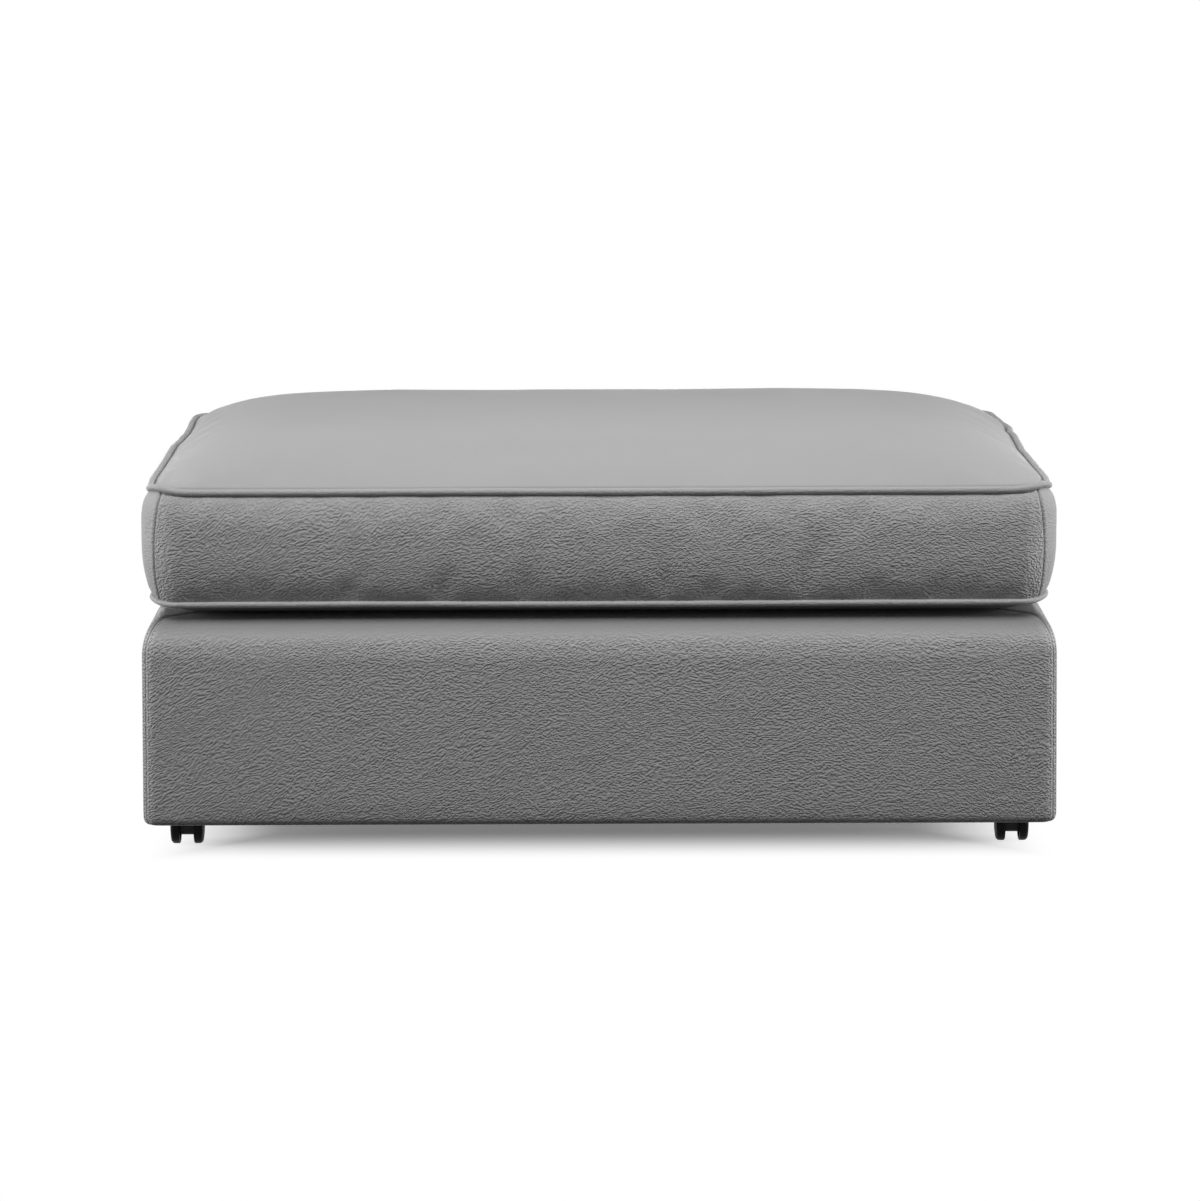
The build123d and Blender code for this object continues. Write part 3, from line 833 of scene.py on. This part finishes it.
panelSpecs = {
    "top": ("cushionTop", "cushion_top", topLeather),
    "bottom": ("cushionBottom", "cushion_bottom", topLeather),
    "front": ("boxingFront", "boxing_front", frontLeather),
    "back": ("boxingBack", "boxing_back", frontLeather),
    "left": ("boxingLeft", "boxing_left", sideLeather),
    "right": ("boxingRight", "boxing_right", sideLeather),
}
for kind, (name, node, look) in panelSpecs.items():
    piece = panels[kind]
    piece.name = piece.data.name = name
    for face in piece.data.polygons:
        face.material_index = 0
    if kind == "back":  # the zip's slot, with turned-in lips
        choose(piece, "face", lambda face: atSlot(face.center, 0.0059, 0))
        bpy.ops.mesh.delete(type="FACE")
        leaveEdit()
        openEdges(piece, atSlot)
        bpy.ops.mesh.extrude_region_move(TRANSFORM_OT_translate={"value": (0, -0.0012, 0)})
        leaveEdit()
    openEdges(piece, lambda middle: not atSlot(middle))
    bpy.ops.mesh.extrude_region_move(TRANSFORM_OT_translate={"value": (0, 0, 0)})
    bpy.ops.transform.resize(value=(0.994, 0.992, 1), center_override=(0, 0, 0))  # seam allowance
    leaveEdit()
    smooth(piece)
    dress(piece, "cushion", look, (node,))
print("cushion panels", ", ".join(panel.name for panel in panels.values()))


# welts: leather over cord, round both seams
welt = {
    "cornerSteps": 8,
    "wander": 0.0004,
    "ear": 0.0026,  # the top welt stands out at the front corners
    "resolution": 3,
    "fill": 0.9,
}


def makeWelt(name, node, radius, heightAt, shift, drift):
    clearSelection()
    bpy.ops.mesh.primitive_plane_add(size=2)
    loop = nameLast(name)
    loop.scale = (seamX, seamY, 1)
    settle(loop)
    chooseAll(loop)
    bpy.ops.mesh.bevel(offset=cushion["cornerRadius"], segments=welt["cornerSteps"], affect="VERTICES")
    bpy.ops.mesh.delete(type="ONLY_FACE")
    leaveEdit()
    choose(loop, "edge", lambda edge: (loop.data.vertices[edge.vertices[0]].co
                                       - loop.data.vertices[edge.vertices[1]].co).length > 0.1)
    bpy.ops.mesh.subdivide(number_cuts=110)
    leaveEdit()

    def wander(co):
        move = Vector((ripple(co, 0.11, shift), ripple(co, 0.11, shift + 4), ripple(co, 0.14, shift + 8)))
        move *= welt["wander"]
        move.x += sideDrift(co.x, co.y) * drift * ease(seamX - 0.09, seamX - 0.01, abs(co.x))
        ear = welt["ear"] * cornerNear(co.x, co.y, 0.02) * drift * (1 if co.y < 0 else 0.2)
        move += Vector((math.copysign(ear, co.x), math.copysign(ear * 0.4, co.y), 0))
        return Vector((co.x, co.y - forwardAt(co.y), heightAt(co.x, co.y))) + move

    moveVertices(loop, wander)
    pick(loop)
    bpy.ops.object.convert(target="CURVE")
    loop.data.bevel_depth = radius
    loop.data.bevel_resolution = welt["resolution"]
    bpy.ops.object.convert(target="MESH")
    loop = nameLast(name)
    swell(loop, lambda co, normal: ripple(co, 0.03, shift) * 0.00015)
    smooth(loop)
    dress(loop, "cushion", weltLeather, (node,))
    return loop


makeWelt("topWelt", "top_welt", cushion["topWeltRadius"], topSeamAt, 2.0, 1.0)
makeWelt("bottomWelt", "bottom_welt", cushion["bottomWeltRadius"], bottomSeamAt, 6.0, 0.0)
print("welts")


# the base: four leather covers, mitred at the corners
base = {
    "edgeInset": 0.0235,  # the padded top edge is rounded more downwards than inwards
    "edgeDrop": 0.042,
    "cornerRadius": 0.015,
    "bottomWide": 0.0055,  # the bottom edge is rounded more upwards than inwards
    "bottomTall": 0.010,
    "bottomHang": 0.0023,  # the edge hangs over the fold
    "seamDepth": 0.0026,
    "seamWidth": 0.0015,
    "stitchDent": 0.0004,
    "flare": 0.0018,  # wider at the bottom
    "thickness": 0.0015,
    "foldDepth": 0.034,
    "wave": 0.0006,
    "plump": 0.0012,
    "face": 0.0115,  # width of the faces, away from the seams
    "fill": 0.75,
}
stitch = {"pitch": 0.0045, "length": 0.0031, "radius": 0.00042, "away": 0.0042, "tone": 0.40}
coverLow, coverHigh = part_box("base_cover_front")
baseHalfX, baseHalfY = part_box("base_cover_right")[1].x, -coverLow.y
baseLow, baseHigh = coverLow.z, coverHigh.z
borderInset = coverHigh.y - coverLow.y


def coverProfile():  # (inset, height) from the deck border round the edge to the fold underneath
    inward, drop = base["edgeInset"], base["edgeDrop"]
    wide, tall, lowest = base["bottomWide"], base["bottomTall"], baseLow - base["bottomHang"]
    points = [(borderInset - (borderInset - inward) * k / 5, baseHigh) for k in range(5)]
    for k in range(15):
        angle = math.pi / 2 * k / 14
        points.append((inward - inward * math.sin(angle), baseHigh - drop + drop * math.cos(angle)))
    top, bottom = baseHigh - drop, lowest + tall
    points += [(0, top + (bottom - top) * k / 18) for k in range(1, 18)]
    for k in range(5):
        angle = math.pi / 2 * k / 4
        points.append((wide - wide * math.cos(angle), bottom - tall * math.sin(angle)))
    points.append((wide + 0.0016, (lowest + baseLow) / 2))
    flat = wide + 0.0024
    points += [(flat + (base["foldDepth"] - flat) * k / 3, baseLow) for k in range(4)]
    return points


profile = coverProfile()
endSteps = (0, 0.0006, 0.0012, 0.002, 0.003, 0.004, 0.0055, 0.008, 0.012, 0.018, 0.026)


def coverPoint(half, other, distance, inset, height):
    # distance: how far from the panel's own mitre, towards the middle; gives (along, out) from the centre
    radius = base["cornerRadius"]
    arc = radius * math.pi / 4
    along, out = half - inset - radius, other - inset - radius
    if distance < arc:
        angle = math.pi / 4 + distance / radius
        return along + radius * math.cos(angle), out + radius * math.sin(angle)
    return along * (1 - (distance - arc) / (half - radius)), other - inset


def flared(x, y, height):
    more = base["flare"] * (baseHigh - height) / (baseHigh - baseLow)
    return Vector((x * (1 + more / baseHalfX), y * (1 + more / baseHalfY), height))


def makeCover(name, node, along, sign, look):
    half, other = (baseHalfX, baseHalfY) if along == "x" else (baseHalfY, baseHalfX)
    reach = half - base["cornerRadius"] * (1 - math.pi / 4)
    count = round((reach - endSteps[-1]) / base["face"])
    run = list(endSteps) + [endSteps[-1] + (reach - endSteps[-1]) * k / count for k in range(1, count + 1)]
    spots = [(-1, d) for d in run] + [(1, d) for d in reversed(run[:-1])]

    def place(i, j):
        side, distance = spots[i]
        inset, height = profile[j]
        on, out = coverPoint(half, other, distance, inset, height)
        groove = base["seamDepth"] * math.exp(-(distance / base["seamWidth"]) ** 2)
        groove += base["stitchDent"] * math.exp(-((distance - stitch["away"]) / 0.0012) ** 2)
        x, y = (side * on, sign * out) if along == "x" else (sign * out, side * on)
        spot = flared(x, y, height)
        calmEnd = ease(0.004, 0.05, distance) * ease(baseLow, baseLow + 0.03, height)
        wave = (ripple(spot, 0.13, 1.5) + 0.5 * ripple(spot, 0.05, 8.5)) * base["wave"] * calmEnd
        plump = base["plump"] * ease(baseLow, baseLow + 0.025, height) * ease(0, 0.08, distance)
        if inset < 0.03:
            spot[1 if along == "x" else 0] += sign * (wave + (plump if inset == 0 else 0) - groove)
        spot.z -= groove if height > baseHigh - 0.02 else 0
        return spot

    piece = gridPiece(name, len(spots) - 1, len(profile) - 1, place)
    middle = piece.data.polygons[len(piece.data.polygons) // 2]
    if middle.normal.dot(middle.center * Vector((1, 1, 0))) <= 0:
        chooseAll(piece)
        bpy.ops.mesh.flip_normals()
        leaveEdit()
    subdivided(piece, 1)
    thickened(piece, base["thickness"])
    smooth(piece, 50)
    dress(piece, "base", look, (node,))
    return piece


makeCover("baseFront", "base_cover_front", "x", -1, baseFrontLeather)
makeCover("baseBack", "base_cover_back", "x", 1, baseFrontLeather)
makeCover("baseLeft", "base_cover_left", "y", -1, baseSideLeather)
makeCover("baseRight", "base_cover_right", "y", 1, baseSideLeather)
print("base covers")


# stitches, in rows
def lined(points, pitch):  # evenly spaced (point, direction) pairs along a line of points
    spots, left = [], pitch / 2
    for a, b in zip(points, points[1:]):
        length = (b - a).length
        if length < 1e-9:
            continue
        while left <= length:
            spots.append((a + (b - a) * (left / length), (b - a).normalized()))
            left += pitch
        left -= length
    return spots


thread = Finish("thread")
twist = thread.noise(thread.turned(thread.place, scale=(1, 1, 2.5)), 0.0006, 2.0)
threadShade = thread.blend(twist, grey(stitch["tone"] * 0.8), grey(stitch["tone"]))
threadLook = thread.surface(threadShade, 0.6, twist, 0.0001)


def stitchRow(name, spots):
    clearSelection()
    bpy.ops.mesh.primitive_uv_sphere_add(segments=6, ring_count=5, radius=stitch["radius"],
                                         rotation=(0, math.pi / 2, 0))
    shape = settle(nameLast("stitch"))
    longer = stitch["length"] / 2 / stitch["radius"]
    moveVertices(shape, lambda co: Vector((co.x * longer, co.y, co.z)))
    row = repeated(name, shape, [facing(*spot) for spot in spots])
    return dress(row, "base", threadLook)


# topstitching on both sides of each corner's mitre
rows = []
visible = [point for point in profile if point[1] > baseLow + 0.004]
for sx in (-1, 1):
    for sy in (-1, 1):
        for along in ("x", "y"):
            half, other = (baseHalfX, baseHalfY) if along == "x" else (baseHalfY, baseHalfX)
            line = []
            for inset, height in visible:
                on, out = coverPoint(half, other, stitch["away"], inset, height)
                x, y = (on, out) if along == "x" else (out, on)
                line.append(flared(sx * x, sy * y, height))
            rows += lined(line, stitch["pitch"])
stitchRow("mitreStitches", rows)
print("stitches", len(rows))


# the deck: stretched cloth sewn to the covers' border
deck = {
    "across": 90,
    "deep": 60,
    "thickness": 0.0006,
    "stitchesOut": 0.005,
    "feltAcross": 80,
    "feltDeep": 50,
    "feltThickness": 0.0011,
}
deckLow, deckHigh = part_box("deck_cover")


def deckPlace(i, j):
    x = deckLow.x + (deckHigh.x - deckLow.x) * i / deck["across"]
    y = deckLow.y + (deckHigh.y - deckLow.y) * j / deck["deep"]
    middle = min(x - deckLow.x, deckHigh.x - x, y - deckLow.y, deckHigh.y - y)
    sag = -0.0008 * ease(0, 0.06, middle) + ripple((x, y, 0), 0.06, 2.2) * 0.0003 * ease(0, 0.02, middle)
    return x, y, deckHigh.z + sag


deckCloth = gridPiece("deckCloth", deck["across"], deck["deep"], deckPlace)
smooth(thickened(deckCloth, deck["thickness"]))
dress(deckCloth, "base", looks["decking_cloth"], ("deck_cover",))
edgeX, edgeY = deckHigh.x + deck["stitchesOut"], deckHigh.y + deck["stitchesOut"]
border = [Vector((sx * edgeX, sy * edgeY, baseHigh + 0.0001))
          for sx, sy in ((-1, -1), (1, -1), (1, 1), (-1, 1), (-1, -1))]
stitchRow("deckStitches", lined(border, stitch["pitch"]))
print("deck")


# hidden padding: slabs cut a little unevenly, from merged copies of the CAD solids
padding = {"gap": 0.003, "cornerRadius": 0.032, "sideVoxel": 0.005, "deckVoxel": 0.006, "fill": 1.0}


def underCover(co):  # draws the foam in where the leather's rounded edges and corners are tighter
    share = min(1, max(0, (co.z - (baseHigh - base["edgeDrop"])) / base["edgeDrop"]))
    inset = base["edgeInset"] * (1 - math.sqrt(1 - share * share)) + padding["gap"]
    halfX, halfY, radius = baseHalfX - inset, baseHalfY - inset, padding["cornerRadius"]
    x, y = min(abs(co.x), halfX), min(abs(co.y), halfY)
    px, py = x - (halfX - radius), y - (halfY - radius)
    reach = math.hypot(px, py)
    if px > 0 and py > 0 and reach > radius:
        x, y = halfX - radius + px * radius / reach, halfY - radius + py * radius / reach
    return Vector((math.copysign(x, co.x), math.copysign(y, co.y), min(co.z, baseHigh - padding["gap"])))


def softSlab(name, node, voxel):
    slab = copied(nodes[node], name)
    for key in list(slab.keys()):
        del slab[key]
    slab.parent = None
    slab.matrix_world = Matrix.Identity(4)
    chooseAll(slab)
    bpy.ops.mesh.remove_doubles(threshold=0.00001)
    leaveEdit()
    remesh = slab.modifiers.new("even", "REMESH")
    remesh.mode, remesh.voxel_size = "VOXEL", voxel
    applyAll(slab)
    swell(slab, lambda co, normal: ripple(co, 0.02, 4.4) * 0.0002 - 0.0004)
    if node.startswith("side_padding"):
        moveVertices(slab, underCover)
    smooth(slab, 40)
    dress(slab, "base", looks["foam"], (node,))


for side in ("front", "back", "left", "right"):
    softSlab("sideFoam" + side.title(), "side_padding_" + side, padding["sideVoxel"])
softSlab("deckFoam", "deck_foam", padding["deckVoxel"])
insulatorLow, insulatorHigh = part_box("deck_insulator")


def feltPlace(i, j):
    x = insulatorLow.x + (insulatorHigh.x - insulatorLow.x) * i / deck["feltAcross"]
    y = insulatorLow.y + (insulatorHigh.y - insulatorLow.y) * j / deck["feltDeep"]
    return x, y, insulatorHigh.z - 0.0002 + ripple((x, y, 0), 0.05, 1.2) * 0.0001


felt = gridPiece("deckFelt", deck["feltAcross"], deck["feltDeep"], feltPlace)
smooth(thickened(felt, deck["feltThickness"]))
dress(felt, "base", looks["felt"], ("deck_insulator",))
print("padding")


# the dust cover under the base, stapled round its edge
dust = {
    "notchX": 0.086,
    "notchY": 0.146,
    "stapleWidth": 0.010,
    "stapleWire": 0.0007,
    "stapleStep": 0.055,
    "stapleInset": 0.007,
}
dustLow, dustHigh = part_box("dust_cover")


def makeDustCover():
    clearSelection()
    bpy.ops.mesh.primitive_plane_add(size=2, location=(0, 0, dustHigh.z))
    piece = nameLast("dustCloth")
    piece.scale = (dustHigh.x, dustHigh.y, 1)
    settle(piece)
    cutX, cutY = dustHigh.x - dust["notchX"], dustHigh.y - dust["notchY"]
    for at, way in ((cutX, (1, 0, 0)), (-cutX, (1, 0, 0)), (cutY, (0, 1, 0)), (-cutY, (0, 1, 0))):
        chooseAll(piece)
        bpy.ops.mesh.bisect(plane_co=(at * way[0], at * way[1], dustHigh.z), plane_no=way)
        leaveEdit()
    choose(piece, "face", lambda face: abs(face.center.x) > cutX and abs(face.center.y) > cutY)
    bpy.ops.mesh.delete(type="FACE")
    bpy.ops.mesh.select_all(action="SELECT")
    bpy.ops.mesh.quads_convert_to_tris()
    leaveEdit()
    for level in range(5):
        chooseAll(piece)
        bpy.ops.mesh.subdivide(number_cuts=1)
        leaveEdit()
    moveVertices(piece, lambda co: co + Vector((0, 0, ripple(co, 0.05, 3.3) * 0.00012)))
    thickened(piece, dustHigh.z - dustLow.z, 0)
    chooseAll(piece)
    bpy.ops.transform.translate(value=(0, 0, (dustLow.z - dustHigh.z) / 2))
    bpy.ops.mesh.normals_make_consistent(inside=False)
    leaveEdit()
    smooth(piece, 40)
    dress(piece, "base", looks["dust_cloth"], ("dust_cover",))


makeDustCover()


def staple():
    clearSelection()
    bpy.ops.mesh.primitive_cube_add(size=1)
    shape = nameLast("staple")
    shape.scale = (dust["stapleWidth"], dust["stapleWire"] * 1.6, dust["stapleWire"])
    settle(shape)
    chooseAll(shape)
    bpy.ops.mesh.bevel(offset=dust["stapleWire"] * 0.4, segments=2)
    leaveEdit()
    return shape


edgeX, edgeY = dustHigh.x - dust["stapleInset"], dustHigh.y - dust["stapleInset"]
cutX, cutY = edgeX - dust["notchX"], edgeY - dust["notchY"]
staplePlaces = []
for sign in (-1, 1):
    for start, end in (((-cutX, sign * edgeY), (cutX, sign * edgeY)),
                       ((sign * edgeX, -cutY), (sign * edgeX, cutY))):
        a, b = Vector((*start, dustLow.z - 0.0001)), Vector((*end, dustLow.z - 0.0001))
        staplePlaces += [facing(point, direction, ripple(point, 0.02, 6.1) * 0.25)
                         for point, direction in lined([a, b], dust["stapleStep"])]
staples = repeated("dustStaples", staple(), staplePlaces)
dress(staples, "base", looks["screw_steel"])
print("dust cover,", len(staplePlaces), "staples")


# the cushion's zip: woven tape, nylon coil
zipLook = {
    "across": 160,
    "up": 8,
    "tape": 0.0007,
    "coilPitch": 0.0015,
    "wire": 0.0004,
    "coilHeight": 0.0046,
}


def tapePlace(i, j):
    x = tapeLow.x + (tapeHigh.x - tapeLow.x) * i / zipLook["across"]
    z = tapeLow.z + (tapeHigh.z - tapeLow.z) * j / zipLook["up"]
    return x, tapeFace + ripple((x, 0, z), 0.03, 3.0) * 0.00008, z


tape = gridPiece("zipTape", zipLook["across"], zipLook["up"], tapePlace)
smooth(thickened(tape, zipLook["tape"], 0))
dress(tape, "cushion", looks["zip_cloth"], ("zip_tape",))
clearSelection()
bpy.ops.mesh.primitive_torus_add(major_segments=10, minor_segments=5, minor_radius=zipLook["wire"],
                                 major_radius=zipLook["coilHeight"] / 2 - zipLook["wire"],
                                 rotation=(0, math.pi / 2, 0))
tooth = settle(nameLast("tooth"))
moveVertices(tooth, lambda co: Vector((co.x + co.z * 0.12, co.y * 0.22, co.z)))
count = round((tapeHigh.x - tapeLow.x - 0.004) / zipLook["coilPitch"])
coilPlaces = [Matrix.Translation((tapeLow.x + 0.002 + zipLook["coilPitch"] * (k + 0.5),
                                  tapeFace + zipLook["tape"], zipMiddle)) for k in range(count)]
coil = repeated("zipCoil", tooth, coilPlaces)
dress(coil, "cushion", looks["caster_black"])
print("zip", count, "coils")


# floor and light
studio = {
    "lamps": {  # place, size, watts and aim; the back one is lower than the crown, to reach only the back
        "key": ((0.0, -0.92, 1.46), (2.6, 0.6), 18.1, (0, -0.3, 0.25)),
        "top": ((0.0, 0.5, 1.5), (2.4, 0.8), 2.5, (0, 0.1, 0.45)),
        "left": ((-2.4, -0.35, 0.6), (1.0, 0.9), 26, (0, 0.1, 0.3)),
        "right": ((2.4, -0.35, 0.6), (1.0, 0.9), 26, (0, 0.1, 0.3)),
        "back": ((0.0, 2.9, 0.22), (2.4, 0.36), 20, (0, 0.3, 0.22)),
    },
    "ambient": 0.054,
    "floorDiffuse": 0.035,
    "floorGlow": 0.18,
    "shadowFade": (0.03, 0.19),  # the shadow stays under the base, as in the photograph
    "shadowEnds": 0.04,  # and reaches that much further at the ends
}


def areaLamp(name, place, size, watts, aim):
    lamp = bpy.data.lights.new(name, "AREA")
    lamp.shape, lamp.size, lamp.size_y, lamp.energy = "RECTANGLE", size[0], size[1], watts
    holder = bpy.data.objects.new(name, lamp)
    scene.collection.objects.link(holder)
    holder.location = place
    holder.rotation_euler = (Vector(aim) - Vector(place)).to_track_quat("-Z", "Y").to_euler()
    holder.visible_camera = False


for name, spec in studio["lamps"].items():
    areaLamp(name, *spec)

clearSelection()
bpy.ops.mesh.primitive_plane_add(size=60)
floor = nameLast("floor")
paper = Finish("paper")
x, y, z = paper.parts(paper.place)
inside = (baseHalfX + studio["shadowEnds"] - abs(x)).upTo(baseHalfY - abs(y))
far = 1 - inside.between(*studio["shadowFade"])
dim = paper.node("ShaderNodeBsdfDiffuse", {}, {"Color": grey(studio["floorDiffuse"])})
pale = paper.node("ShaderNodeBsdfDiffuse", {}, {"Color": grey(1.0)})
glow = paper.node("ShaderNodeEmission", {}, {"Color": grey(1.0), "Strength": studio["floorGlow"]})
white = paper.node("ShaderNodeEmission", {}, {"Color": grey(1.0), "Strength": 1.0})
near = paper.node("ShaderNodeAddShader", {}, [pale, glow])
shown = paper.node("ShaderNodeMixShader", {}, [far, near, white])
floorShader = paper.node("ShaderNodeMixShader", {}, [paper.seen(), dim, shown])
paper.node("ShaderNodeOutputMaterial", {}, {"Surface": floorShader})
floor.data.materials.append(paper.material)

scene.world = bpy.data.worlds.new("studio")
sky = Finish("studio", scene.world)
soft, bright = (sky.node("ShaderNodeBackground", {}, {"Color": grey(1.0), "Strength": strength})
                for strength in (studio["ambient"], 1.0))
backdrop = sky.node("ShaderNodeMixShader", {}, [sky.seen(), soft, bright])
sky.node("ShaderNodeOutputWorld", {}, {"Surface": backdrop})
scene.view_settings.view_transform = "Standard"

# the photograph's camera
shot = {"place": (-0.0226, -5.6805, 1.1533), "pitch": 9.11, "yaw": -0.25, "roll": -0.17, "lens": 146.2}
lens = bpy.data.cameras.new("camera")
lens.lens, lens.sensor_width = shot["lens"], 36
lens.clip_start, lens.clip_end = 0.05, 100
camera = bpy.data.objects.new("camera", lens)
scene.collection.objects.link(camera)
camera.matrix_world = (Matrix.Translation(shot["place"]) @ Matrix.Rotation(math.radians(shot["yaw"]), 4, "Z")
                       @ Matrix.Rotation(math.radians(90 - shot["pitch"]), 4, "X")
                       @ Matrix.Rotation(math.radians(shot["roll"]), 4, "Z"))
scene.camera = camera
print("camera and light")
